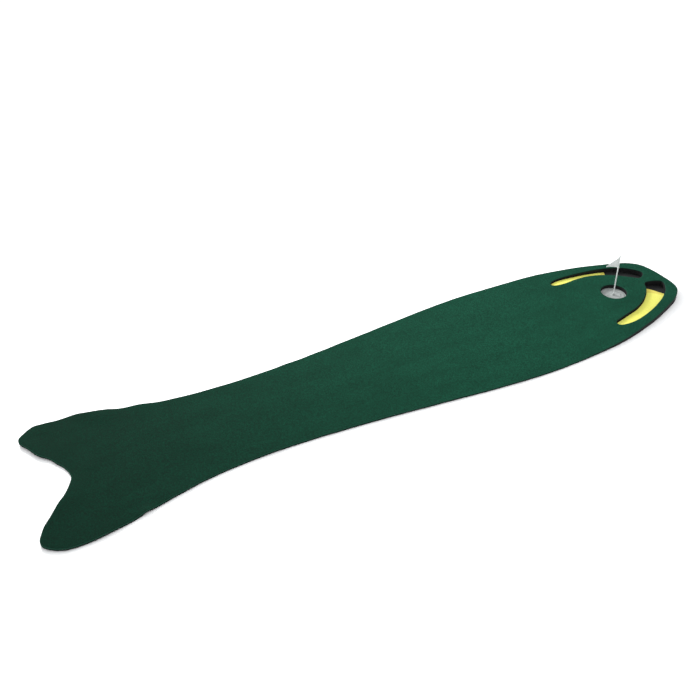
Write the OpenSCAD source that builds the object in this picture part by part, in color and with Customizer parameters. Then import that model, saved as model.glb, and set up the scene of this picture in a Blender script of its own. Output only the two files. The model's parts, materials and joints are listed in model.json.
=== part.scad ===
// Fish-shaped practice putting mat: a turf mat on thin rubber backing, with a head end raised by a
// foam wedge that holds one cup, a flag and two crescent sand traps. The long tail rolls up.
// +X runs from tail to nose, +Z is up, and the origin is under the middle of the mat on the floor.

/* [Mat] */
// Overall length from the tail tips to the nose
mat_length = 2743; // [2600:1:2900]
// Width at the widest point
mat_width = 610; // [580:1:660]
// Thickness of the turf layer
turf_thick = 5; // [4:0.5:6]
// Thickness of the rubber backing under the turf
backing_thick = 2; // [1:0.5:3]

/* [Head] */
// Length of the head section, from the nose to the first fold
head_length = 863; // [840:1:880]
// Length over which the head rises, measured back from the nose
ramp_length = 713; // [680:1:760]
// Height that the foam wedge lifts the nose
nose_rise = 25; // [20:1:35]
// Thickness of the sheet that closes the wedge from below
base_thick = 2; // [1:0.5:3]

/* [Cup] */
// Distance from the nose to the middle of the cup
cup_inset = 281; // [272:1:286]
// Width of the cup opening
cup_d = 112; // [108:1:114]
// Thickness of the moulded disc that forms the cup floor
cup_floor_thick = 2.5; // [2:0.5:4]
// Height of the socket boss above the cup floor
boss_height = 6; // [4:1:10]

/* [Flag] */
// Diameter of the flagstick
stick_d = 5; // [4:0.5:7]
// Length of the flagstick
stick_length = 198; // [150:1:250]
// Height of the pennant beside the stick
pennant_height = 50; // [30:1:60]
// Reach of the pennant from the stick
pennant_reach = 50; // [30:1:60]
// Direction the pennant points at rest, measured from +X towards +Y
pennant_turn = 152; // [0:1:359]

/* [Sand traps] */
// Thickness of the felt that lines each trap
felt_thick = 3; // [2:0.5:4]
// Depth of the felt below the turf along the edge nearer the cup
felt_drop = 9; // [8:0.5:12]

/* [Roll] */
// Number of strips that the rolling part is made of
strip_count = 22; // [18:1:22]
// Turn at each fold when the mat is rolled up
fold_turn = 36; // [30:1:36]
// Growth of the roll's radius in one turn
roll_pitch = 18; // [16:1:22]

/* [Hidden] */
head_start = mat_length - head_length;
ramp_start = mat_length - ramp_length;
mat_thick = turf_thick + backing_thick;
cup_x = mat_length - cup_inset;
cup_floor_top = base_thick + cup_floor_thick;
socket_floor = base_thick + 3;
boss_d = stick_d + 7;
running_gap = 0.08;
part_gap = 0.3;
fold_gap = 0.2;
strip_mean = head_start / strip_count;
strip_taper = roll_pitch * 2 * tan(fold_turn / 2) * fold_turn / 360;
tall = 200;

stick_top = socket_floor + stick_length;
cap_height = 7;
cap_d = stick_d + 2;
sleeve_d = stick_d + 1.8;
sleeve_top = stick_top - cap_height + 3 - part_gap;
sleeve_bottom = sleeve_top - pennant_height - 2;
collar_height = 3.5;
collar_d = stick_d + 3.4;
pennant_thick = 1;

// Half of the mat's edge from nose to tail notch, as shares of the length and of the half width
EDGE = [
    [1.000, 0.000], [0.999, 0.197], [0.994, 0.367], [0.981, 0.492], [0.962, 0.584], [0.926, 0.705],
    [0.886, 0.816], [0.820, 0.941], [0.747, 0.992], [0.674, 1.000], [0.598, 0.951], [0.510, 0.859],
    [0.401, 0.748], [0.292, 0.682], [0.204, 0.708], [0.139, 0.820], [0.073, 0.960], [0.026, 0.975],
    [0.004, 0.870], [0.000, 0.760], [0.005, 0.640], [0.015, 0.492], [0.032, 0.289], [0.043, 0.131],
    [0.047, 0.000]
];
// Edges of the sand traps, from tip to blunt end, measured outwards from the cup's centre. The right
// trap has the shorter tip and the broader end.
LEFT_INNER = [[-194, 174], [-144, 163], [-74, 164], [-9, 155], [56, 130], [108, 92], [150, 52], [183, 26]];
LEFT_OUTER = [[-194, 197], [-144, 209], [-44, 201], [46, 185], [117, 163], [168, 136], [207, 96], [224, 54]];
RIGHT_INNER = [[-152, 178], [-110, 165], [-59, 154], [-2, 141], [54, 118], [98, 91], [138, 58], [176, 14]];
RIGHT_OUTER = [[-152, 203], [-105, 213], [-40, 207], [32, 189], [100, 164], [158, 136], [212, 98], [244, 42]];

$fn = 64;

function strip_name(layer, i) = str(layer, "_", i < 10 ? "0" : "", i);

// Fold i counts from the head: fold 0 is the head's edge, and the last one is at the tail tips
function fold_x(i) = head_start - i * strip_mean - strip_taper * i * (strip_count - i) / 2;

// Height of the backing's underside at a distance x from the tail tips
function lift(x) = max(0, nose_rise * (x - ramp_start) / ramp_length);

// Point at share t of the curve through b and c, with a and d before and after them
function curve_point(a, b, c, d, t) =
    0.5 * (2 * b + (c - a) * t + (2 * a - 5 * b + 4 * c - d) * t * t
           + (3 * b - a - 3 * c + d) * t * t * t);

// Smooth closed curve through the points, with the given number of steps between two of them
function smooth_loop(points, steps) =
    let (n = len(points))
    [for (i = [0 : n - 1], k = [0 : steps - 1])
        curve_point(points[(i + n - 1) % n], points[i], points[(i + 1) % n], points[(i + 2) % n],
                    k / steps)];

function reversed(list) = [for (i = [len(list) - 1 : -1 : 0]) list[i]];

function mat_edge() =
    let (half = [for (p = EDGE) [p.x * mat_length, p.y * mat_width / 2]],
         other = [for (i = [len(half) - 2 : -1 : 1]) [half[i].x, -half[i].y]])
    smooth_loop(concat(half, other), 4);

// Everything is laid out from the tail tips, then moved so that the origin is at mid length
module placed() {
    translate([-mat_length / 2, 0, 0]) children();
}

module at_cup(z = 0) {
    placed() translate([cup_x, 0, z]) children();
}

// The mat's plan between two distances from the tail tips
module plan(from, to) {
    intersection() {
        polygon(mat_edge());
        translate([from, -mat_width]) square([to - from, 2 * mat_width]);
    }
}

module slab(from, to, low, high) {
    placed() translate([0, 0, low]) linear_extrude(high - low) plan(from, to);
}

// The head's plan cut to a side profile of [x, z] points
module head_slab(profile) {
    placed() intersection() {
        linear_extrude(tall) plan(head_start, mat_length + 1);
        rotate([90, 0, 0]) linear_extrude(2 * mat_width, center = true) polygon(profile);
    }
}

// A trap's closed outline: along the inner edge to the blunt end, and back along the outer edge
trap_steps = 4;
left_trap = smooth_loop(concat(LEFT_INNER, reversed(LEFT_OUTER)), trap_steps);
right_trap = smooth_loop(concat(RIGHT_INNER, reversed(RIGHT_OUTER)), trap_steps);

module trap_slots() {
    at_cup(-1) linear_extrude(tall) {
        polygon(left_trap);
        mirror([0, 1]) polygon(right_trap);
    }
}

// The cup and trap openings, cut from a layer of the head
module with_openings() {
    difference() {
        children();
        at_cup(-1) cylinder(h = tall, d = cup_d);
        trap_slots();
    }
}

// A layer of the head that follows the slope between two heights above the backing's underside
module head_layer(low, high) {
    end = mat_length + 1;
    with_openings() head_slab([
        [head_start, low], [ramp_start, low], [end, lift(end) + low],
        [end, lift(end) + high], [ramp_start, high], [head_start, high]
    ]);
}

module turf_head() {
    color([0.11, 0.29, 0.22]) head_layer(backing_thick, mat_thick);
}

module backing_head() {
    color([0.06, 0.07, 0.07]) head_layer(0, backing_thick);
}

module foam_riser() {
    end = mat_length + 1;
    start = ramp_start + ramp_length * base_thick / nose_rise;
    color([0.09, 0.09, 0.1])
        with_openings() head_slab([[start, base_thick], [end, base_thick], [end, lift(end)]]);
}

module base_sheet() {
    end = mat_length + 1;
    full = ramp_start + ramp_length * base_thick / nose_rise;
    color([0.05, 0.05, 0.05])
        head_slab([[ramp_start, 0], [end, 0], [end, base_thick], [full, base_thick]]);
}

module cup_base() {
    color([0.78, 0.8, 0.78]) at_cup() difference() {
        union() {
            translate([0, 0, base_thick]) cylinder(h = cup_floor_thick, d = cup_d - 2 * part_gap);
            translate([0, 0, cup_floor_top]) cylinder(h = boss_height, d = boss_d);
        }
        translate([0, 0, socket_floor]) cylinder(h = tall, d = stick_d + 2 * running_gap);
    }
}

// Felt strip that slopes down from the trap's inner edge to the base sheet at its outer wall. Each
// row across the strip joins a point of the inner edge to the outer point at the same step.
module trap_felt(outline, last) {
    edge_gap = 1.5;
    loop_end = len(outline) - trap_steps;
    rows = [for (i = [0 : last])
        let (a = outline[i],
             b = outline[loop_end - i],
             d = (b - a) / norm(b - a),
             high = lift(cup_x + a.x) + mat_thick - felt_drop,
             inner = a + d * edge_gap,
             outer = b - d * edge_gap)
        [[inner.x, inner.y, high], [outer.x, outer.y, base_thick + felt_thick],
         [outer.x, outer.y, base_thick], [inner.x, inner.y, high - felt_thick]]];
    sides = [for (i = [0 : last - 1], k = [0 : 3])
        [4 * i + k, 4 * i + (k + 1) % 4, 4 * i + 4 + (k + 1) % 4, 4 * i + 4 + k]];
    polyhedron([for (row = rows) each row],
               concat([[3, 2, 1, 0]], sides, [[for (k = [0 : 3]) 4 * last + k]]));
}

module trap_felt_left() {
    color([0.95, 0.9, 0.35]) at_cup() trap_felt(left_trap, 17);
}

module trap_felt_right() {
    color([0.95, 0.9, 0.35]) at_cup() mirror([0, 1, 0]) trap_felt(right_trap, 26);
}

// Ring round the flagstick's axis, from a height upwards
module stick_ring(low, height, outer_d, inner_d) {
    at_cup(low) difference() {
        cylinder(h = height, d = outer_d);
        translate([0, 0, -1]) cylinder(h = height + 2, d = inner_d);
    }
}

module flagstick() {
    color([0.93, 0.94, 0.93]) at_cup(socket_floor) cylinder(h = stick_length, d = stick_d);
}

module stick_cap() {
    skirt = 4;
    color([0.9, 0.9, 0.9]) {
        stick_ring(stick_top - skirt, skirt, cap_d, stick_d);
        at_cup(stick_top) cylinder(h = cap_height - skirt, d1 = cap_d, d2 = cap_d * 0.6);
    }
}

module flag_collar() {
    color([0.9, 0.9, 0.9])
        stick_ring(sleeve_bottom - part_gap - collar_height, collar_height, collar_d, stick_d);
}

module pennant_sleeve() {
    color([0.95, 0.95, 0.95])
        stick_ring(sleeve_bottom, sleeve_top - sleeve_bottom, sleeve_d, stick_d + 2 * running_gap);
}

module pennant() {
    root = sleeve_d / 2 - 0.1;
    color([0.96, 0.96, 0.96]) at_cup(sleeve_bottom + 1) rotate([0, 0, pennant_turn])
        rotate([90, 0, 0]) linear_extrude(pennant_thick, center = true)
            polygon([[root, 0], [pennant_reach + root, 2], [pennant_reach + root, 4],
                     [root, pennant_height]]);
}

module turf_strip(i) {
    color([0.1, 0.26, 0.2]) slab(fold_x(i), fold_x(i - 1) - fold_gap, backing_thick, mat_thick);
}

module backing_strip(i) {
    color([0.06, 0.07, 0.07]) slab(fold_x(i), fold_x(i - 1) - fold_gap, 0, backing_thick);
}

turf_head();
backing_head();
foam_riser();
base_sheet();
cup_base();
trap_felt_left();
trap_felt_right();
flagstick();
stick_cap();
flag_collar();
pennant_sleeve();
pennant();
for (i = [1 : strip_count]) {
    turf_strip(i);
    backing_strip(i);
}
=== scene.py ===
"""Looks of the fish-shaped practice putting mat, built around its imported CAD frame.

Lengths are metres in the part's own frame: +X runs from the tail to the nose, +Z is up.
The plan of the mat is read from the CAD nodes, made smooth, and cut into triangles once.
Every layer of the mat is then a closed solid over some of those triangles.
"""

import json
import math
import random

import bmesh
import bpy
import numpy as np
from mathutils import Matrix, Vector, noise
from mathutils.geometry import delaunay_2d_cdt
from mathutils.kdtree import KDTree


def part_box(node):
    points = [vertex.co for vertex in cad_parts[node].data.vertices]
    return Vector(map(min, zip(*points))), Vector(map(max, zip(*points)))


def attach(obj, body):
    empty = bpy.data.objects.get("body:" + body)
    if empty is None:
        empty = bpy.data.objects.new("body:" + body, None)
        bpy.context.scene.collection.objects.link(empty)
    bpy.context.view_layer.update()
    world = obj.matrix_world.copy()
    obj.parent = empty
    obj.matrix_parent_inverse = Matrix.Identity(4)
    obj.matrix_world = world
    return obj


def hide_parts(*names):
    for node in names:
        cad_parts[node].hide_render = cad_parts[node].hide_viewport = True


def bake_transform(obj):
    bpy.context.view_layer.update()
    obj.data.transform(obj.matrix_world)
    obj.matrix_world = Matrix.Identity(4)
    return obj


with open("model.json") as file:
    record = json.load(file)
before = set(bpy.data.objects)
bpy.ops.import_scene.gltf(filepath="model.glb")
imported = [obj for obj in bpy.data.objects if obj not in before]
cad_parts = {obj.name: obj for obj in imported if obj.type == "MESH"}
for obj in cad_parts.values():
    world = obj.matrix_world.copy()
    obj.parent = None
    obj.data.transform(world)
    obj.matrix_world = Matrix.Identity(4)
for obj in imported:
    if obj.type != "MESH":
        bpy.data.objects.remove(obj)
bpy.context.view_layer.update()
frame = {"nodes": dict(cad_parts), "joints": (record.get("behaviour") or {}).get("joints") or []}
random.seed(7)

# ---------------------------------------------------------------- sizes that only the looks use
PLAN_STEP = 0.008       # spacing of the points inside the mat's plan
RIM_STEP = 0.006        # spacing of the points along its edges
TURF_THICK = 0.005
BACKING_THICK = 0.002
BASE_THICK = 0.002
FELT_THICK = 0.003
FELT_GAP = 0.0016       # between a felt liner and the walls of its slot
FELT_CUT = math.radians(28)     # how far the end of a liner is cut out of square
FELT_SAG = 0.0045       # how far a liner has settled along its slot's inner wall
FELT_FOLD = 0.040       # from a liner's cut end back to its fold, at the inner wall
FELT_FOLD_SKEW = 0.026  # how much nearer to the cut end the fold is at the outer wall
FELT_DROOP = 0.06       # slope at which a liner hangs down past its fold
LEFT_DIP = 0.010        # depth of the dip in the left liner, and where it starts, measured from the tip
LEFT_DIP_START = 0.055
LEFT_RISE = 0.004       # how far the left liner comes up again after its dip, and where
LEFT_RISE_START = 0.150
NAP_WAVES = 0.00025     # unevenness of the turf's top
CREASE_HEIGHT = 0.0022
CREASE_WIDTH = 0.006
CREASE_REACH = 0.15     # how far the crease runs to each side of its middle
KINK_PLACE = (-1.06, -0.265)    # a sharp small bend on the near edge of the tail
KINK_HEIGHT = 0.005
KINK_WIDTH = 0.022
STICK_HOLE = 0.00258    # radius of the holes that the flagstick stands in and the sleeve turns on
MAT_THICK = TURF_THICK + BACKING_THICK

# Edge sections, from the top face to the bottom face: share of the thickness, and how far set in
TURF_EDGE = ((0, 0.0016), (0.1, 0.0006), (0.3, 0), (0.65, 0.0001), (0.9, 0.0004), (1, 0.0007))
BACKING_EDGE = ((0, 0.0009), (0.3, 0.0004), (0.7, 0.0004), (1, 0.0009))
FOAM_EDGE = ((0, 0.0006), (0.15, 0.0009), (0.3, 0.0006), (0.45, 0.001), (0.6, 0.0007), (0.75, 0.001),
             (0.9, 0.0007), (1, 0.0009))
BASE_EDGE = ((0, 0.0012), (0.4, 0.0007), (1, 0.0013))
FELT_EDGE = ((0, 0.0009), (0.25, 0.0003), (0.6, 0), (1, 0.0006))

WORLD_STRENGTH = 1.2
KEY_PLACE = (-0.9, 3.9, 2.5)
KEY_TARGET = (0.9, 0.0, 0.0)
KEY_WIDTH = 1.8
KEY_POWER = 330
CAMERA_PLACE = (-1.279, -2.096, 1.883)
CAMERA_HEADING = math.radians(62.0)     # from +X towards +Y
CAMERA_DOWN = math.radians(29.1)
CAMERA_LENS = 40.4
CAMERA_SHIFT = (-0.021, -0.143)

# ---------------------------------------------------------------- facts read from the frame
joints = {j["name"]: j for j in frame["joints"]}
fold_names = sorted(name for name in joints if name.startswith("fold_"))
strips = [joints[name]["child"] for name in fold_names]
fold_x = [joints[name]["pos_m"][0] for name in fold_names]
strip_ids = [name.split("_")[1] for name in fold_names]

cup_x = joints["flag_swivel"]["pos_m"][0]
cup = Vector((cup_x, 0.0))
nose_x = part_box("turf_head")[1].x
nose_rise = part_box("turf_head")[1].z - MAT_THICK
ramp_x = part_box("base_sheet")[0].x
riser_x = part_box("foam_riser")[0].x
tail_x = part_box("turf_" + strip_ids[-1])[0].x

ends = fold_x + [tail_x]
middles = [(ends[i] + ends[i + 1]) / 2 for i in range(len(strips))]
first_cut = 2 * fold_x[0] - middles[0]
cuts = [first_cut] + middles


def smooth(t):
    """Goes from 0 at t = 0 to 1 at t = 1 with level ends."""
    t = np.clip(t, 0, 1)
    return t * t * (3 - 2 * t)


# ---------------------------------------------------------------- the plan
def rim_segments(node):
    """The edges of a node's upper face in plan, without the straight cuts across the mat."""
    bm = bmesh.new()
    bm.from_mesh(frame["nodes"][node].data)
    bmesh.ops.remove_doubles(bm, verts=bm.verts, dist=1e-6)
    bm.normal_update()
    found = []
    for edge in bm.edges:
        above = [f for f in edge.link_faces if f.normal.z > 0.9]
        a, b = (v.co.xy for v in edge.verts)
        on_cut = abs(a.x - b.x) < 1e-6 and min(abs(a.x - x) for x in fold_x) < 0.0005
        if len(above) == 1 and not on_cut:
            found.append((a, b))
    bm.free()
    return found


def chained(segments, reach=0.0008):
    """Closed loops of points, made by joining segments whose ends are within reach."""
    tree = KDTree(2 * len(segments))
    for i, pair in enumerate(segments):
        for k in (0, 1):
            tree.insert(pair[k].to_3d(), 2 * i + k)
    tree.balance()
    used, loops = set(), []
    for first in range(len(segments)):
        if first in used:
            continue
        used.add(first)
        loop, here = [segments[first][0]], segments[first][1]
        while True:
            near = sorted(tree.find_range(here.to_3d(), reach), key=lambda hit: hit[2])
            near = [hit[1] for hit in near if hit[1] // 2 not in used]
            if not near:
                break
            loop.append(here)
            used.add(near[0] // 2)
            here = segments[near[0] // 2][1 - near[0] % 2]
        if len(loop) > 12:
            loops.append(np.array([p[:] for p in loop]))
    return loops


def resampled(loop, step):
    """The smooth closed curve through a loop's points, as points about one step apart."""
    after = np.roll(loop, -1, 0)
    span = np.linalg.norm(after - loop, axis=1)[:, None]
    before_span = np.roll(span, 1, 0)
    slope = (after - loop) / span
    before_slope = np.roll(slope, 1, 0)
    tangent = (slope * before_span + before_slope * span) / (span + before_span)
    length = np.concatenate([[0], np.cumsum(span[:, 0])])
    count = max(24, round(length[-1] / step))
    along = np.arange(count) * length[-1] / count
    i = np.clip(np.searchsorted(length, along, "right") - 1, 0, len(loop) - 1)
    j = (i + 1) % len(loop)
    h = span[i]
    t = ((along - length[i]) / h[:, 0])[:, None]
    return ((2 * t**3 - 3 * t**2 + 1) * loop[i] + (t**3 - 2 * t**2 + t) * h * tangent[i]
            + (3 * t**2 - 2 * t**3) * loop[j] + (t**3 - t**2) * h * tangent[j])


def area_of(loop):
    """Area that a closed loop holds, above zero when it runs anticlockwise."""
    x, y = loop.T
    return 0.5 * float(np.sum(x * np.roll(y, -1) - np.roll(x, -1) * y))


def outward(loop):
    """Unit normals that point out of a closed loop."""
    along = np.roll(loop, -1, 0) - np.roll(loop, 1, 0)
    normal = np.stack([along[:, 1], -along[:, 0]], 1) * math.copysign(1, area_of(loop))
    return normal / np.linalg.norm(normal, axis=1)[:, None]


def wavy(loop):
    """The outer edge with the small waves that scissors and handling leave, larger at the tail."""
    shift = []
    for x, y in loop:
        tail = float(smooth((-0.95 - x) / 0.35)) * (1.0 if y > 0 else 0.45)
        broad = noise.noise(Vector((x * 16, y * 16, 3.1)))
        fine = noise.noise(Vector((x * 60, y * 60, 9.7)))
        shift.append(broad * (0.0008 + 0.0080 * tail) + fine * 0.0004)
    return loop + outward(loop) * np.array(shift)[:, None]


def inside(points, loop):
    """True for each point that a closed loop holds."""
    x, y = points.T
    hit = np.zeros(len(points), bool)
    for a, b in zip(loop, np.roll(loop, -1, 0)):
        crosses = (a[1] > y) != (b[1] > y)
        if crosses.any():
            hit ^= crosses & (x < a[0] + (y - a[1]) * (b[0] - a[0]) / (b[1] - a[1] + 1e-18))
    return hit


def with_crossings(loop, lines):
    """The loop with a point where it crosses each line x = constant, and those points by line."""
    out, found = [], {line: [] for line in lines}
    for a, b in zip(loop, np.roll(loop, -1, 0)):
        out.append(a)
        for line in sorted(lines, reverse=bool(a[0] > b[0])):
            if (a[0] - line) * (b[0] - line) < 0:
                share = (line - a[0]) / (b[0] - a[0])
                out.append(a + share * (b - a))
                found[line].append(out[-1])
    fixed = {tuple(p) for points in found.values() for p in points}
    kept = []
    for i, p in enumerate(out):
        beside = (out[i - 1], out[(i + 1) % len(out)])
        close = any(tuple(q) in fixed and np.linalg.norm(q - p) < RIM_STEP / 3 for q in beside)
        if tuple(p) in fixed or not close:
            kept.append(p)
    return np.array(kept), found


class Plan:
    """Triangles over the mat's plan. Slots and the cup hole are triangles too, marked as open."""

    def __init__(self):
        segments = [s for n in ["head"] + strip_ids for s in rim_segments("turf_" + n)]
        loops = sorted(chained(segments), key=lambda loop: -abs(area_of(loop)))
        outer = wavy(resampled(loops[0], RIM_STEP))
        holes = [resampled(loop, RIM_STEP * 0.7) for loop in loops[1:]]
        lines = cuts + [riser_x, ramp_x]
        outer, crossings = with_crossings(outer, lines)
        points, edges = [], []
        for loop in [outer] + holes:
            first = len(points)
            points += list(loop)
            edges += [(first + i, first + (i + 1) % len(loop)) for i in range(len(loop))]
        for line in lines:
            ys = sorted(p[1] for p in crossings[line])
            for low, high in zip(ys[::2], ys[1::2]):
                count = max(2, round((high - low) / PLAN_STEP))
                first = len(points)
                points += [np.array((line, low + (high - low) * k / count))
                           for k in range(count + 1)]
                edges += [(first + k, first + k + 1) for k in range(count)]
        self.holes = holes
        self.traps = sorted(holes, key=lambda loop: abs(float(loop[:, 1].mean())))[1:]
        for loop in self.traps:
            inner, outer_end, _ = felt_end(loop)
            first = len(points)
            points += [np.array(inner.lerp(outer_end, t).xy) for t in np.linspace(-0.3, 1.35, 26)]
            edges += [(k, k + 1) for k in range(first, len(points) - 1)]
        points += self.lattice(points, outer)
        self.triangulate(points, edges, outer)

    def lattice(self, taken, outer):
        """Points spread evenly inside the outline, clear of the points already there."""
        tree = KDTree(len(taken))
        for i, p in enumerate(taken):
            tree.insert((p[0], p[1], 0), i)
        tree.balance()
        row_step = PLAN_STEP * math.sqrt(3) / 2
        low, high = outer.min(0), outer.max(0)
        rows = int((high[0] - low[0]) / row_step)
        columns = int((high[1] - low[1]) / PLAN_STEP)
        spread = [(low[0] + i * row_step + random.uniform(-0.1, 0.1) * PLAN_STEP,
                   low[1] + (k + i % 2 / 2) * PLAN_STEP + random.uniform(-0.1, 0.1) * PLAN_STEP)
                  for i in range(rows + 1) for k in range(columns + 1)]
        spread = np.array(spread)
        spread = spread[inside(spread, outer)]
        return [p for p in spread if tree.find((p[0], p[1], 0))[2] > 0.6 * PLAN_STEP]

    def triangulate(self, points, edges, outer):
        """Makes the triangles, and the facts about them that the solids need."""
        made = delaunay_2d_cdt([Vector(p) for p in points], edges, [], 0, 1e-7)
        self.xy = np.array([v[:] for v in made[0]])
        tris = np.array([f for f in made[2] if len(f) == 3])
        centres = self.xy[tris].mean(1)
        keep = inside(centres, outer)
        tris, centres = tris[keep], centres[keep]
        a, b, c = (self.xy[tris[:, k]] for k in range(3))
        turn = (b[:, 0] - a[:, 0]) * (c[:, 1] - a[:, 1]) - (b[:, 1] - a[:, 1]) * (c[:, 0] - a[:, 0])
        tris[turn < 0] = tris[turn < 0][:, ::-1]
        flat = np.abs(turn) < 1e-10
        self.tris, self.centres = tris[~flat], centres[~flat]
        self.open = np.zeros(len(self.tris), bool)
        for loop in self.holes:
            self.open |= inside(self.centres, loop)
        rim = rim_edges(self.tris[~self.open])
        self.normal = rim_normals(self.xy, rim)
        rim_points = sorted({i for pair in rim for i in pair})
        self.edge_gap = distance_to(self.xy, self.xy[rim_points])


def distance_to(points, targets):
    """How far each point is from the nearest target."""
    tree = KDTree(len(targets))
    for i, p in enumerate(targets):
        tree.insert((p[0], p[1], 0), i)
    tree.balance()
    return np.array([tree.find((p[0], p[1], 0))[2] for p in points])


def rim_edges(tris):
    """Edges that only one triangle has, each with that triangle on its left."""
    pairs = {(int(t[k]), int(t[(k + 1) % 3])) for t in tris for k in range(3)}
    return [pair for pair in sorted(pairs) if pair[::-1] not in pairs]


def rim_normals(xy, rim):
    """Unit normals that point out of the triangles at the rim, and zero away from it."""
    normal = np.zeros((len(xy), 2))
    for a, b in rim:
        along = xy[b] - xy[a]
        out = np.array((along[1], -along[0])) / (np.linalg.norm(along) + 1e-12)
        normal[a] += out
        normal[b] += out
    size = np.linalg.norm(normal, axis=1)
    normal[size > 0] /= size[size > 0][:, None]
    return normal


def felt_end(loop):
    """Inner and outer corner of the cut end of the felt in a trap, and the side it is on."""
    side = "left" if loop[:, 1].mean() > 0 else "right"
    corners = [v.co for v in frame["nodes"]["trap_felt_" + side].data.vertices]
    inner = max(corners, key=lambda c: c.z)
    outer = max(corners, key=lambda c: c.x)
    skewed = Matrix.Rotation(math.copysign(FELT_CUT, inner.y), 3, "Z") @ (outer - inner)
    return inner, inner + skewed, side


# ---------------------------------------------------------------- heights
def lift(x):
    """Height of the backing's underside over the foam wedge, with a soft start to the slope."""
    t = (x - ramp_x) / (nose_x - ramp_x)
    return nose_rise * 0.5 * (t + np.sqrt(t * t + 0.05**2))


def ripple(xy, edge_gap):
    """How far the sheet stands off a flat floor: low swells, and waves along the tail's edges."""
    out = []
    for (x, y), gap in zip(xy, edge_gap):
        loose = float(smooth((0.55 - x) / 0.5))
        tail = float(smooth((-0.75 - x) / 0.5))
        swell = 0.5 + 0.5 * noise.noise(Vector((x * 3.3, y * 3.3, 1.7)))
        near_edge = float(smooth(1 - gap / 0.11))
        far_side = 1.0 if y > 0 else 0.5
        wave = max(0.0, 0.35 + noise.noise(Vector((x * 13, y * 5, 4.4))))
        tip = float(smooth((tail_x + 0.12 - x) / 0.12))
        kink = math.exp(-((x - KINK_PLACE[0])**2 + (y - KINK_PLACE[1])**2) / KINK_WIDTH**2)
        out.append(swell * (0.0003 + 0.0014 * loose) + KINK_HEIGHT * kink
                   + wave * near_edge * (0.0004 + 0.0012 * loose + 0.0095 * tail * far_side)
                   + 0.003 * tip * far_side)
    return np.array(out)


def crease(x, y):
    """Height of the low ridge across the turf where the mat was folded in its box."""
    middle = -0.02
    line = cup_x - 0.15 + 0.25 * (y - middle)**2
    fade = smooth(1 - np.abs(y - middle) / CREASE_REACH)
    return CREASE_HEIGHT * np.exp(-((x - line) / CREASE_WIDTH)**2) * fade


# ---------------------------------------------------------------- solids over the plan
def solid(name, tris, low, high, section, roughness, normal=None, brushed=None):
    """A closed mesh over some triangles, between two heights, with a shaped edge section.

    The normal tells which way the section is set in: away from it. The material can read how far
    each point is from the cut edge, which is below zero down the edge itself, and, on a felt liner,
    how much painted shade falls on the end that droops past its fold."""
    if normal is None:
        normal = plan.normal
    used = np.unique(tris)
    index = np.full(len(plan.xy), -1)
    index[used] = np.arange(len(used))
    rim = rim_edges(tris)
    rim_points = sorted({i for pair in rim for i in pair})
    rim_index = {p: i for i, p in enumerate(rim_points)}
    inner = section[1:-1]

    def placed(ids, share, inset):
        fuzz = [noise.noise(Vector((*(plan.xy[i] * 330), share * 3))) for i in ids]
        set_in = inset + np.abs(np.array(fuzz) * roughness)
        flat = plan.xy[ids] - normal[ids] * set_in[:, None]
        z = high[ids] + (low[ids] - high[ids]) * share
        return np.column_stack([flat, z])

    rings = [placed(rim_points, share, inset) for share, inset in inner]
    verts = np.vstack([placed(used, *section[0]), placed(used, *section[-1])] + rings)
    count, wide = len(used), len(rim_points)

    def ring_vert(ring, point):
        if ring == 0:
            return int(index[point])
        if ring == len(section) - 1:
            return int(index[point]) + count
        return 2 * count + (ring - 1) * wide + rim_index[point]

    faces = [tuple(map(int, t)) for t in index[tris]]
    faces += [tuple(int(i) + count for i in t[::-1]) for t in index[tris]]
    for a, b in rim:
        for ring in range(len(section) - 1):
            faces.append((ring_vert(ring + 1, a), ring_vert(ring + 1, b),
                          ring_vert(ring, b), ring_vert(ring, a)))
    down_edge = [np.full(wide, -0.001 - 0.01 * share) for share, _ in inner]
    marks = {"edge_gap": np.concatenate([plan.edge_gap[used], plan.edge_gap[used] + 1] + down_edge)}
    if brushed is not None:
        marks["brushed"] = np.concatenate([brushed[used], brushed[used]]
                                          + [brushed[rim_points]] * len(inner))
    return mesh_object(name, verts, faces, marks)


def in_scene(name, data):
    """A new object in the scene."""
    made = bpy.data.objects.new(name, data)
    bpy.context.scene.collection.objects.link(made)
    return made


def mesh_object(name, verts, faces, marks=None, sharp=40):
    """A smooth-shaded mesh that remembers where its points are at rest, for its material."""
    mesh = bpy.data.meshes.new(name)
    mesh.from_pydata([tuple(map(float, v)) for v in verts], [], faces)
    mesh.validate()
    mesh.shade_smooth()
    mesh.set_sharp_from_angle(angle=math.radians(sharp))
    co = np.zeros(len(mesh.vertices) * 3, np.float32)
    mesh.vertices.foreach_get("co", co)
    mesh.attributes.new("rest", "FLOAT_VECTOR", "POINT").data.foreach_set("vector", co)
    for mark, values in (marks or {}).items():
        kept = mesh.attributes.new(mark, "FLOAT", "POINT")
        kept.data.foreach_set("value", values.astype(np.float32))
    return in_scene(name, mesh)


def finished(piece, slot, cad_node):
    """Gives a piece the material of its slot, and hides the CAD node that it stands for."""
    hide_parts(cad_node)
    piece.data.materials.append(MATERIALS[slot])
    return piece


def hang(piece, stretch):
    """Stretch 0 is the head and stretch N the tail end; one between them spans a fold and is left
    where it is, attached to no body.
    """
    if stretch == 0:
        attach(piece, "head")
    elif stretch == len(cuts):
        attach(piece, strips[-1])
    else:
        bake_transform(piece)


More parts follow.
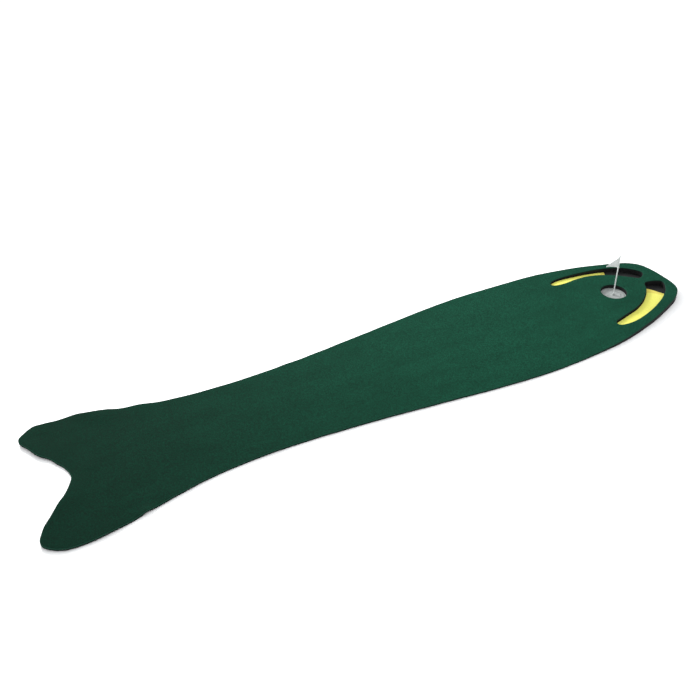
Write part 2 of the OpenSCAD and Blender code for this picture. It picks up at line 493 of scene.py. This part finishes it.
def mat_layers():
    """The turf and its rubber backing, in stretches that meet at the middle of each strip."""
    ground = lift(plan.xy[:, 0]) + ripple(plan.xy, plan.edge_gap)
    seam = ground + BACKING_THICK
    nap = NAP_WAVES * np.array([noise.noise(Vector((x * 90, y * 90, 0.3))) for x, y in plan.xy])
    top = ground + MAT_THICK + nap + crease(plan.xy[:, 0], plan.xy[:, 1])
    limits = [math.inf] + cuts + [-math.inf]
    labels = ["head"] + strip_ids + ["end"]
    cad_names = ["head"] + strip_ids + strip_ids[-1:]
    for stretch, (label, cad_name) in enumerate(zip(labels, cad_names)):
        here = (plan.centres[:, 0] < limits[stretch]) & (plan.centres[:, 0] > limits[stretch + 1])
        tris = plan.tris[here & ~plan.open]
        backing = solid("mat_backing_" + label, tris, ground, seam, BACKING_EDGE, 0.0002)
        turf = solid("mat_turf_" + label, tris, seam, top, TURF_EDGE, 0.0005)
        finished(backing, "backing_rubber", "backing_" + cad_name)
        finished(turf, "turf", "turf_" + cad_name)
        hang(backing, stretch)
        hang(turf, stretch)


def wedge():
    """The foam that raises the head, and the sheet that closes it from below."""
    x = plan.xy[:, 0]
    underside = np.zeros(len(x))
    base_top = np.minimum(BASE_THICK, np.maximum(0.0004, lift(x)))
    foam = plan.tris[(plan.centres[:, 0] > riser_x) & ~plan.open]
    foam_top = np.maximum(lift(x) + ripple(plan.xy, plan.edge_gap), base_top + 0.0002)
    riser = solid("foam_wedge", foam, base_top, foam_top, FOAM_EDGE, 0.0007)
    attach(finished(riser, "riser_foam", "foam_riser"), "head")
    under = plan.tris[plan.centres[:, 0] > ramp_x]
    sheet = solid("base_liner", under, underside, base_top, BASE_EDGE, 0.0002)
    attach(finished(sheet, "backing_rubber", "base_sheet"), "head")


def felt_liner(loop):
    """The yellow felt of one trap: it slopes from the cup side down to the outer wall."""
    inner, outer_end, side = felt_end(loop)
    drop = MAT_THICK + float(lift(inner.x)) - inner.z
    end = np.array((outer_end - inner).xy)
    back = np.array((-end[1], end[0])) / np.linalg.norm(end)
    back *= math.copysign(1, -back[0])
    from_end = (plan.xy - np.array(inner.xy)) @ back
    beyond = (plan.centres - np.array(inner.xy)) @ back < 0
    tris = plan.tris[inside(plan.centres, loop) & ~beyond]

    near_cup = np.sum(outward(loop) * (loop - np.array(cup)), axis=1) < 0
    inner_gap = distance_to(plan.xy, loop[near_cup])
    outer_gap = distance_to(plan.xy, loop[~near_cup])
    across = inner_gap / (inner_gap + outer_gap + 1e-9)

    x = plan.xy[:, 0]
    inner_top = lift(x) + MAT_THICK - drop - FELT_SAG
    outer_top = BASE_THICK + FELT_THICK
    top = inner_top + (outer_top - inner_top) * smooth(across * 0.9 + 0.05)
    to_fold = FELT_FOLD - FELT_FOLD_SKEW * across - from_end
    # Painted shade on the liner's end past its fold, for the shade on that drooping end.
    brushed = smooth(to_fold / 0.004)
    top = top - FELT_DROOP * np.maximum(to_fold, 0) * (1 - 0.6 * across)
    if side == "left":
        along = x - float(loop[:, 0].min())
        top = top - LEFT_DIP * smooth((along - LEFT_DIP_START) / 0.035)
        top = top + LEFT_RISE * smooth((along - LEFT_RISE_START) / 0.03)
    waves = np.array([noise.noise(Vector((*(p * 28), 6.0))) for p in plan.xy])
    top = np.maximum(top + 0.0005 * waves, outer_top)

    section = [(share, inset + FELT_GAP) for share, inset in FELT_EDGE]
    felt = solid("felt_liner_" + side, tris, top - FELT_THICK, top, section, 0.0004,
                 normal=-plan.normal, brushed=brushed)
    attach(finished(felt, "trap_felt", "trap_felt_" + side), "head")


# ---------------------------------------------------------------- turned pieces and the flag
def faced_out(piece):
    """Turns the faces of a closed mesh outwards."""
    bm = bmesh.new()
    bm.from_mesh(piece.data)
    bmesh.ops.recalc_face_normals(bm, faces=bm.faces)
    bm.to_mesh(piece.data)
    bm.free()
    return piece


def turned(name, profile, segments, bumps=0.0):
    """A closed piece turned about the flagstick's axis, from (radius, height) points.

    A profile that ends where it starts gives a ring. Any other is closed with a point on the axis
    at each end."""
    verts, faces = [], []
    for r, z in profile:
        for k in range(segments):
            a = 2 * math.pi * k / segments
            rough = 1 + bumps * noise.noise(Vector((math.cos(a) * 3, math.sin(a) * 3, z * 90)))
            verts.append((cup_x + r * rough * math.cos(a), r * rough * math.sin(a), z))
    for i in range(len(profile) - 1):
        for k in range(segments):
            n = (k + 1) % segments
            faces.append((i * segments + k, i * segments + n, (i + 1) * segments + n,
                          (i + 1) * segments + k))
    last_ring = (len(profile) - 1) * segments
    if profile[0] == profile[-1]:
        verts = verts[:last_ring]
        faces = [tuple(i % last_ring for i in f) for f in faces]
    else:
        start_point, end_point = len(verts), len(verts) + 1
        verts += [(cup_x, 0, profile[0][1]), (cup_x, 0, profile[-1][1])]
        for k in range(segments):
            n = (k + 1) % segments
            faces.append((start_point, n, k))
            faces.append((end_point, last_ring + k, last_ring + n))
    return faced_out(mesh_object(name, verts, faces, sharp=50))


def cup_floor():
    """Moulded disc with a raised rim, two fine ribs and the socket boss for the stick."""
    low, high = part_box("cup_base")
    r = (high.x - low.x) / 2
    boss_r, hole_r = 0.006, STICK_HOLE
    boss_top = high.z
    dish = boss_top - 0.006
    socket = 0.005
    ribs = []
    for at in (0.82, 0.55):
        ribs += [(r * at + 0.0012, dish), (r * at + 0.0005, dish + 0.0004),
                 (r * at - 0.0005, dish + 0.0004), (r * at - 0.0012, dish)]
    profile = [(0.0, low.z), (r - 0.0008, low.z), (r, low.z + 0.0005), (r, dish + 0.0006),
               (r - 0.0006, dish + 0.001), (r - 0.0018, dish + 0.001), (r - 0.003, dish)]
    profile += ribs
    profile += [(boss_r + 0.004, dish), (boss_r + 0.0015, dish + 0.0005),
                (boss_r + 0.0004, dish + 0.002), (boss_r, boss_top - 0.0007),
                (boss_r - 0.0006, boss_top), (hole_r + 0.0005, boss_top),
                (hole_r, boss_top - 0.0005), (hole_r, socket), (0.0, socket)]
    profile = [(max(radius, 0.00002), z) for radius, z in profile]
    disc = turned("cup_floor", profile, segments=96)
    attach(finished(disc, "cup_plastic", "cup_base"), "head")


def stick_pieces():
    """Flagstick, its cap and the collar under the flag."""
    low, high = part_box("flagstick")
    r = (high.x - low.x) / 2
    top = high.z
    shaft = [(r * 0.55, low.z), (r * 0.85, low.z + 0.0015), (r, low.z + 0.004)]
    steps = 26
    for i in range(1, steps):
        z = low.z + 0.004 + (top - low.z - 0.005) * i / steps
        shaft.append((r * (1 - 0.012 * (i % 2)), z))
    shaft += [(r, top - 0.0006), (r * 0.8, top)]
    stick = turned("flag_stick", shaft, segments=32)
    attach(finished(stick, "stick_plastic", "flagstick"), "flagstick")

    low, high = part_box("stick_cap")
    outer = (high.x - low.x) / 2
    dome = [(outer * math.cos(a), high.z - 0.003 + 0.003 * math.sin(a))
            for a in np.radians(range(0, 86, 12))]
    inner = [(0.0001, top + 0.0002), (r + 0.00002, top + 0.0002), (r + 0.00002, low.z)]
    skirt = [(outer - 0.0002, low.z), (outer, low.z + 0.0004), (outer, low.z + 0.0016),
             (outer - 0.0003, low.z + 0.0019), (outer - 0.0003, low.z + 0.0025),
             (outer, low.z + 0.0028)]
    cap = turned("stick_top", inner + skirt + dome + [(0.0001, high.z)], segments=40)
    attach(finished(cap, "stick_plastic", "stick_cap"), "flagstick")

    low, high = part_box("flag_collar")
    outer = (high.x - low.x) / 2
    ring = [(r + 0.00001, low.z), (outer - 0.0004, low.z), (outer, low.z + 0.0005),
            (outer, high.z - 0.0013), (outer - 0.0004, high.z - 0.0009), (outer, high.z - 0.0005),
            (outer - 0.0005, high.z), (r + 0.00001, high.z), (r + 0.00001, low.z)]
    collar = turned("flag_ring", ring, segments=40)
    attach(finished(collar, "stick_plastic", "flag_collar"), "flagstick")


def sleeve_piece():
    """The cloth sleeve that turns on the stick."""
    low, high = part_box("pennant_sleeve")
    outer, inner = (high.x - low.x) / 2, STICK_HOLE
    steps = 24
    wall = [(outer - 0.00025 - 0.0002 * (i % 2), low.z + (high.z - low.z) * i / steps)
            for i in range(steps + 1)]
    hem = [(outer - 0.0006, low.z)] + wall + [(outer - 0.0006, high.z)]
    profile = [(inner, low.z)] + hem + [(inner, high.z), (inner, low.z)]
    sleeve = turned("flag_sleeve", profile, segments=40, bumps=0.02)
    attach(finished(sleeve, "pennant_cloth", "pennant_sleeve"), "flag")
    return outer - 0.0006


def pennant_piece(root):
    """The pennant, sewn to the sleeve at a distance root from the stick's axis."""
    corners = np.array([v.co[:] for v in frame["nodes"]["pennant"].data.vertices])
    middle = corners[:, :2].mean(0) - np.array(cup)
    along = middle / np.linalg.norm(middle)
    side = np.array((-along[1], along[0]))
    reach = float(((corners[:, :2] - np.array(cup)) @ along).max())
    bottom, top = float(corners[:, 2].min()), float(corners[:, 2].max())
    columns, rows, thick = 44, 40, 0.0006
    verts = []
    for face in (-1, 1):
        for i in range(columns + 1):
            u = i / columns
            r = root + (reach - root) * u
            lower = bottom + 0.002 * u + 0.0008 * math.sin(5 * u)
            upper = top - (top - bottom - 0.004) * u
            for k in range(rows + 1):
                v = k / rows
                z = lower + (upper - lower) * v
                wave = 0.0024 * u * math.sin(2.2 * math.pi * u + 0.9 * v)
                wave += 0.0006 * u * noise.noise(Vector((r * 120, z * 120, 2.0)))
                hem_thick = 1.5 if v < 0.05 or v > 0.95 or u < 0.06 else 1.0
                offset = wave + face * thick / 2 * hem_thick
                verts.append((*(np.array(cup) + along * r + side * offset), z))
    per_side = (columns + 1) * (rows + 1)

    def at(face, i, k):
        return face * per_side + i * (rows + 1) + k

    faces = []
    for i in range(columns):
        for k in range(rows):
            quad = (at(0, i, k), at(0, i + 1, k), at(0, i + 1, k + 1), at(0, i, k + 1))
            faces += [quad, tuple(q + per_side for q in quad[::-1])]
    border = [(i, 0) for i in range(columns)] + [(columns, k) for k in range(rows)]
    border += [(i, rows) for i in range(columns, 0, -1)] + [(0, k) for k in range(rows, 0, -1)]
    for a, b in zip(border, border[1:] + border[:1]):
        faces.append((at(0, *b), at(0, *a), at(1, *a), at(1, *b)))
    flag = faced_out(mesh_object("pennant_flag", verts, faces, sharp=50))
    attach(finished(flag, "pennant_cloth", "pennant"), "flag")


# ---------------------------------------------------------------- materials
class Nodes:
    """A short way to write a material's node tree."""

    def __init__(self, name):
        self.material = bpy.data.materials.new(name)
        self.material.use_nodes = True
        self.tree = self.material.node_tree
        self.shader = self.tree.nodes["Principled BSDF"]
        rest = self.add("ShaderNodeAttribute")
        rest.attribute_name = "rest"
        self.rest = rest.outputs["Vector"]

    def add(self, kind, **inputs):
        node = self.tree.nodes.new(kind)
        for name, value in inputs.items():
            self.put(node.inputs[name.replace("_", " ")], value)
        return node

    def put(self, socket, value):
        """Links a socket to another one, or sets its value."""
        if isinstance(value, bpy.types.NodeSocket):
            self.tree.links.new(value, socket)
        else:
            socket.default_value = value

    def noise(self, scale, detail=3.0, roughness=0.55, stretch=None, distortion=0.0):
        place = self.rest
        if stretch:
            mapping = self.add("ShaderNodeMapping", Vector=place, Scale=stretch)
            place = mapping.outputs["Vector"]
        return self.add("ShaderNodeTexNoise", Vector=place, Scale=scale, Detail=detail,
                        Roughness=roughness, Distortion=distortion).outputs["Fac"]

    def cells(self, scale):
        return self.add("ShaderNodeTexVoronoi", Vector=self.rest, Scale=scale).outputs["Distance"]

    def ramp(self, value, *stops):
        """Colours for a value, from (place, colour) stops."""
        node = self.add("ShaderNodeValToRGB", Fac=value)
        elements = node.color_ramp.elements
        while len(elements) < len(stops):
            elements.new(0.5)
        for element, (at, colour) in zip(elements, stops):
            element.position = at
            element.color = (*colour, 1)
        return node.outputs["Color"]

    def math(self, kind, a, b):
        node = self.tree.nodes.new("ShaderNodeMath")
        node.operation = kind
        for socket, value in zip(node.inputs, (a, b)):
            self.put(socket, value)
        return node.outputs["Value"]

    def mix(self, share, a, b, blend="MIX"):
        node = self.tree.nodes.new("ShaderNodeMix")
        node.data_type = "RGBA"
        node.blend_type = blend
        sockets = {s.identifier: s for s in node.inputs}
        self.put(sockets["Factor_Float"], share)
        for key, colour in (("A_Color", a), ("B_Color", b)):
            self.put(sockets[key], (*colour, 1) if isinstance(colour, tuple) else colour)
        return next(s for s in node.outputs if s.identifier == "Result_Color")

    def along(self, axis):
        return self.add("ShaderNodeSeparateXYZ", Vector=self.rest).outputs[axis]

    def span(self, value, low, high, to_low, to_high):
        """Takes a value from one range to another, with soft ends."""
        node = self.add("ShaderNodeMapRange", Value=value)
        for name, number in (("From Min", low), ("From Max", high), ("To Min", to_low),
                             ("To Max", to_high)):
            node.inputs[name].default_value = number
        node.interpolation_type = "SMOOTHSTEP"
        return node.outputs["Result"]

    def mark(self, name):
        """A value that the mesh keeps at each point."""
        node = self.add("ShaderNodeAttribute")
        node.attribute_name = name
        return node.outputs["Fac"]

    def bump(self, height, distance, strength, after=None):
        node = self.add("ShaderNodeBump", Height=height, Distance=distance, Strength=strength)
        if after is not None:
            self.tree.links.new(after, node.inputs["Normal"])
        return node.outputs["Normal"]

    def surface(self, colour, roughness, normal, **constants):
        """Ends the material: links to the shader's main sockets, and constants on the others."""
        for name, value in (("Base Color", colour), ("Roughness", roughness), ("Normal", normal)):
            self.put(self.shader.inputs[name], value)
        for name, value in constants.items():
            self.shader.inputs[name.replace("_", " ")].default_value = value
        return self.material


def turf_material():
    """Short green pile: fine light and dark fibre ends, soft blotches and paler cut edges.

    It is painted darker towards the tail, for the fall-off of the light along the mat, and the lower
    part of its cut edge is darker, partly from the latex at the pile roots and partly painted shade.
    """
    n = Nodes("turf_pile")
    fibres = n.noise(620, 3, 0.7)
    tufts = n.noise(210, 3, 0.75)
    blotches = n.noise(9, 5, 0.65)
    brushed = n.noise(6, 4, 0.6, stretch=(0.5, 2.2, 1))
    base = n.ramp(fibres, (0.3, (0.0014, 0.0158, 0.0085)), (0.5, (0.0028, 0.0268, 0.0148)),
                  (0.7, (0.0062, 0.0470, 0.0275)))
    shade = n.span(tufts, 0.35, 0.65, 0.66, 1.36)
    shade = n.math("MULTIPLY", shade, n.span(blotches, 0.3, 0.7, 0.94, 1.06))
    shade = n.math("MULTIPLY", shade, n.span(brushed, 0.3, 0.7, 0.93, 1.07))
    # Painted light fall-off: darker towards the tail, lighter towards the head.
    shade = n.math("MULTIPLY", shade, n.span(n.along("X"), -1.5, 0.6, 0.50, 1.33))
    grey = n.add("ShaderNodeCombineColor", Red=shade, Green=shade, Blue=shade).outputs["Color"]
    base = n.mix(1.0, base, grey, "MULTIPLY")
    gap = n.mark("edge_gap")
    base = n.mix(n.span(gap, 0.0, 0.0022, 0.55, 0.0), base, (0.016, 0.056, 0.038))
    # Darker down the lower cut edge: partly the latex at the pile roots, partly painted shade among
    # them.
    base = n.mix(n.span(gap, -0.0055, -0.0025, 0.85, 0.0), base, (0.0030, 0.0080, 0.0060))
    rough = n.span(tufts, 0.3, 0.7, 0.82, 0.98)
    normal = n.bump(fibres, 0.0006, 0.7, n.bump(tufts, 0.0009, 0.6))
    return n.surface(base, rough, normal, Sheen_Weight=0.012, Sheen_Roughness=0.5,
                     Sheen_Tint=(0.35, 0.9, 0.65, 1), Specular_IOR_Level=0.04)


def rubber_material():
    """Thin foamed rubber with a pebbled skin."""
    n = Nodes("foamed_rubber")
    pebbles = n.cells(520)
    skin = n.noise(1400, 2, 0.6)
    dust = n.noise(22, 4, 0.6)
    base = n.ramp(dust, (0.35, (0.0065, 0.0070, 0.0072)), (0.7, (0.0150, 0.0155, 0.0158)))
    base = n.mix(n.span(pebbles, 0.2, 0.7, 0.0, 0.5), base, (0.020, 0.021, 0.021))
    rough = n.span(dust, 0.3, 0.7, 0.62, 0.82)
    normal = n.bump(pebbles, 0.0004, 0.7, n.bump(skin, 0.0002, 0.5))
    return n.surface(base, rough, normal, Specular_IOR_Level=0.18)


def foam_material():
    """Black closed-cell foam: knife-cut sides with open pores."""
    n = Nodes("cut_foam")
    pores = n.cells(900)
    large = n.cells(260)
    grain = n.noise(60, 4, 0.6)
    base = n.ramp(pores, (0.15, (0.0030, 0.0030, 0.0032)), (0.5, (0.0080, 0.0080, 0.0085)))
    base = n.mix(n.span(grain, 0.35, 0.7, 0.0, 0.4), base, (0.0125, 0.0120, 0.0125))
    rough = n.span(large, 0.1, 0.6, 0.95, 0.75)
    normal = n.bump(pores, 0.0005, 0.8, n.bump(large, 0.0004, 0.5))
    return n.surface(base, rough, normal, Specular_IOR_Level=0.15)


def felt_material():
    """Lemon felt: matted fibres, a little soiled, with a paler nap, and painted shade on the end
    that droops past its fold.
    """
    n = Nodes("lemon_felt")
    hairs = n.noise(900, 4, 0.7, stretch=(1, 0.35, 1), distortion=0.6)
    crossed = n.noise(800, 4, 0.7, stretch=(0.35, 1, 1), distortion=0.6)
    mats = n.noise(60, 4, 0.6)
    soil = n.noise(14, 3, 0.5)
    weave = n.math("ADD", n.math("MULTIPLY", hairs, 0.5), n.math("MULTIPLY", crossed, 0.5))
    base = n.ramp(weave, (0.36, (0.54, 0.52, 0.065)), (0.5, (0.67, 0.66, 0.105)),
                  (0.66, (0.75, 0.75, 0.17)))
    base = n.mix(n.span(mats, 0.4, 0.75, 0.0, 0.35), base, (0.72, 0.72, 0.16))
    base = n.mix(n.span(soil, 0.55, 0.8, 0.0, 0.3), base, (0.52, 0.45, 0.08))
    # Painted shade: the drooping end past the fold is darkened to a dull yellow.
    painted_fold_shade = n.math("MULTIPLY", n.mark("brushed"), n.span(hairs, 0.35, 0.6, 0.95, 0.60))
    base = n.mix(painted_fold_shade, base, (0.50, 0.41, 0.055))
    rough = n.span(mats, 0.3, 0.7, 0.85, 0.98)
    normal = n.bump(weave, 0.0006, 0.7, n.bump(mats, 0.0008, 0.4))
    return n.surface(base, rough, normal, Sheen_Weight=0.3, Sheen_Roughness=0.5,
                     Sheen_Tint=(1, 0.95, 0.6, 1), Specular_IOR_Level=0.2)


def cup_material():
    """Light grey moulded plastic with faint flow marks and scuffs from the balls."""
    n = Nodes("cup_plastic")
    flow = n.noise(28, 4, 0.6, stretch=(1, 3, 1))
    scuffs = n.noise(160, 5, 0.7, stretch=(4, 0.6, 1))
    grain = n.noise(1500, 2, 0.5)
    base = n.ramp(flow, (0.3, (0.185, 0.20, 0.195)), (0.7, (0.27, 0.29, 0.28)))
    base = n.mix(n.span(scuffs, 0.58, 0.8, 0.0, 0.5), base, (0.11, 0.12, 0.115))
    rough = n.span(scuffs, 0.4, 0.75, 0.32, 0.6)
    return n.surface(base, rough, n.bump(grain, 0.00008, 0.5, n.bump(scuffs, 0.00015, 0.3)))


def stick_material():
    """White moulded plastic, slightly satin."""
    n = Nodes("white_plastic")
    mottle = n.noise(45, 3, 0.5)
    rubs = n.noise(300, 4, 0.7, stretch=(1, 1, 0.15))
    base = n.ramp(mottle, (0.3, (0.54, 0.57, 0.56)), (0.7, (0.63, 0.65, 0.64)))
    base = n.mix(n.span(rubs, 0.62, 0.82, 0.0, 0.35), base, (0.43, 0.45, 0.44))
    rough = n.span(rubs, 0.35, 0.7, 0.28, 0.5)
    return n.surface(base, rough, n.bump(mottle, 0.0001, 0.4))


def cloth_material():
    """White plain-weave polyester."""
    n = Nodes("white_cloth")
    threads = []
    for direction in "ZX":
        wave = n.add("ShaderNodeTexWave", Vector=n.rest, Scale=420, Distortion=0.6)
        wave.bands_direction = direction
        threads.append(wave.outputs["Fac"])
    weave = n.math("MULTIPLY", *threads)
    crush = n.noise(60, 3, 0.5)
    base = n.ramp(weave, (0.0, (0.58, 0.61, 0.60)), (1.0, (0.68, 0.70, 0.70)))
    base = n.mix(n.span(crush, 0.5, 0.8, 0.0, 0.3), base, (0.56, 0.59, 0.59))
    normal = n.bump(weave, 0.00012, 0.6, n.bump(crush, 0.0004, 0.4))
    return n.surface(base, n.span(crush, 0.3, 0.7, 0.72, 0.9), normal, Sheen_Weight=0.2)


MATERIALS = {
    "turf": turf_material(),
    "backing_rubber": rubber_material(),
    "riser_foam": foam_material(),
    "trap_felt": felt_material(),
    "cup_plastic": cup_material(),
    "stick_plastic": stick_material(),
    "pennant_cloth": cloth_material(),
}


# ---------------------------------------------------------------- stage, lights and camera
def floor():
    """A wide pale floor, a hair below the mat."""
    mesh = bpy.data.meshes.new("studio_floor")
    far, level = 30, -0.0004
    corners = [(x * far, y * far, level) for x, y in ((-1, -1), (1, -1), (1, 1), (-1, 1))]
    mesh.from_pydata(corners, [], [(0, 1, 2, 3)])
    made = in_scene("studio_floor", mesh)
    n = Nodes("pale_floor")
    tint = n.noise(1.5, 2, 0.5)
    mesh.attributes.new("rest", "FLOAT_VECTOR", "POINT")
    n.surface(n.ramp(tint, (0.3, (0.93, 0.93, 0.93)), (0.7, (0.95, 0.95, 0.95))), 0.9,
              n.bump(tint, 0.0001, 0.1), Specular_IOR_Level=0.1)
    mesh.materials.append(n.material)


def soft_light(name, place, target, size, power):
    """A round area light that faces its target."""
    data = bpy.data.lights.new(name, "AREA")
    data.shape = "DISK"
    data.size = size
    data.energy = power
    made = in_scene(name, data)
    made.location = place
    made.rotation_euler = (Vector(target) - Vector(place)).to_track_quat("-Z", "Y").to_euler()


def lights():
    """Even studio light from all round, and one soft lamp from behind on the left."""
    world = bpy.data.worlds.new("studio")
    world.use_nodes = True
    background = world.node_tree.nodes["Background"]
    background.inputs["Color"].default_value = (0.98, 0.99, 1.0, 1)
    background.inputs["Strength"].default_value = WORLD_STRENGTH
    bpy.context.scene.world = world
    soft_light("key", KEY_PLACE, KEY_TARGET, KEY_WIDTH, KEY_POWER)


def camera():
    """Stands by the tail on the right-hand side and looks down along the mat."""
    data = bpy.data.cameras.new("camera")
    data.sensor_width = 36
    data.lens = CAMERA_LENS
    data.shift_x, data.shift_y = CAMERA_SHIFT
    data.clip_start, data.clip_end = 0.05, 100
    made = in_scene("camera", data)
    made.location = CAMERA_PLACE
    made.rotation_euler = (math.pi / 2 - CAMERA_DOWN, 0, CAMERA_HEADING - math.pi / 2)
    bpy.context.scene.camera = made


plan = Plan()
camera()
lights()
floor()
mat_layers()
wedge()
for trap in plan.traps:
    felt_liner(trap)
cup_floor()
stick_pieces()
pennant_piece(sleeve_piece())

bpy.context.scene.view_settings.view_transform = "Standard"
